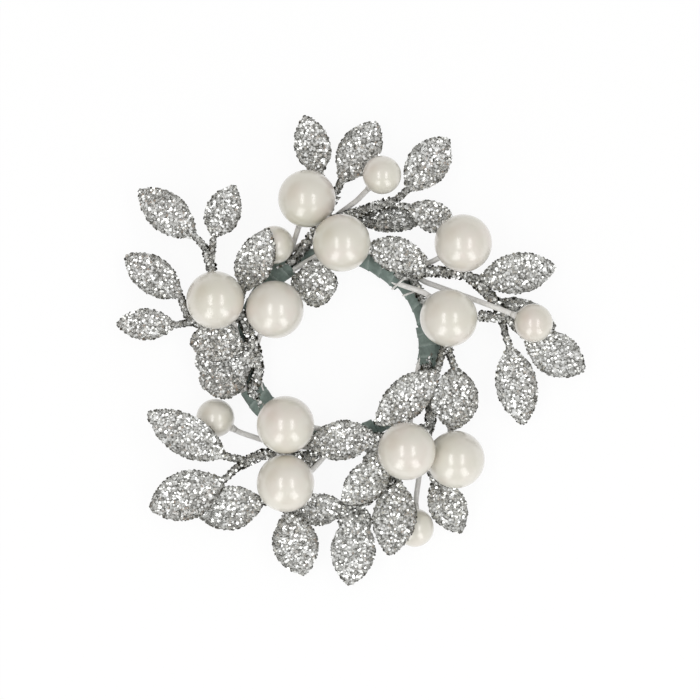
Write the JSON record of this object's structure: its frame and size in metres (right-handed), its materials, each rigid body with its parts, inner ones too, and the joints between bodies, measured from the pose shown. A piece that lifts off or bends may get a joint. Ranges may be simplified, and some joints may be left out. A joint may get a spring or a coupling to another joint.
{
  "type": "candle ring",
  "caption": "Small candle ring: taped wire hoop with overlapping silver glitter leaf sprays and ivory pearl berries on wire stems, open in the middle for a candle.",
  "frame": {"origin": "on the hoop's axis, at the level of the table that the bindings rest on", "axes": "+Z up along the hoop's axis, the way a candle comes out of the ring; +Y is up in the picture's view from above"},
  "size_m": [0.1217, 0.1221, 0.025],
  "materials": {
    "wire": "plain florist's wire, hidden by the tape",
    "tape": "grey-green waxed crepe floral tape, matt",
    "glitter": "moulded spray coated all over with coarse silver glitter",
    "pearl": "ivory pearl lacquer, glossy",
    "stem_paper": "wire wrapped in white paper"
  },
  "bodies": {
    "root": {"berry_stems_a": "stem_paper", "berry_stems_b": "stem_paper", "berry_stems_c": "stem_paper", "berry_stems_d": "stem_paper", "berry_stems_e": "stem_paper", "bindings": "tape", "hoop_tape": "tape", "hoop_wire": "wire", "leaf_a1": "glitter", "leaf_a2": "glitter", "leaf_a3": "glitter", "leaf_a4": "glitter", "leaf_a5": "glitter", "leaf_a6": "glitter", "leaf_a7": "glitter", "leaf_b1": "glitter", "leaf_b2": "glitter", "leaf_b3": "glitter", "leaf_b4": "glitter", "leaf_b5": "glitter", "leaf_b6": "glitter", "leaf_b7": "glitter", "leaf_c1": "glitter", "leaf_c2": "glitter", "leaf_c3": "glitter", "leaf_c4": "glitter", "leaf_c5": "glitter", "leaf_c6": "glitter", "leaf_d1": "glitter", "leaf_d2": "glitter", "leaf_d3": "glitter", "leaf_d4": "glitter", "leaf_d5": "glitter", "leaf_d6": "glitter", "leaf_e1": "glitter", "leaf_e2": "glitter", "leaf_e3": "glitter", "leaf_e4": "glitter", "pearl_a1": "pearl", "pearl_a2": "pearl", "pearl_a3": "pearl", "pearl_b1": "pearl", "pearl_b2": "pearl", "pearl_b3": "pearl", "pearl_c1": "pearl", "pearl_c2": "pearl", "pearl_c3": "pearl", "pearl_d1": "pearl", "pearl_d2": "pearl", "pearl_d3": "pearl", "pearl_e1": "pearl", "pearl_e2": "pearl", "pearl_e3": "pearl", "spray_a_branch": "glitter", "spray_b_branch": "glitter", "spray_c_branch": "glitter", "spray_d_branch": "glitter", "spray_e_branch": "glitter"}
  },
  "joints": []
}
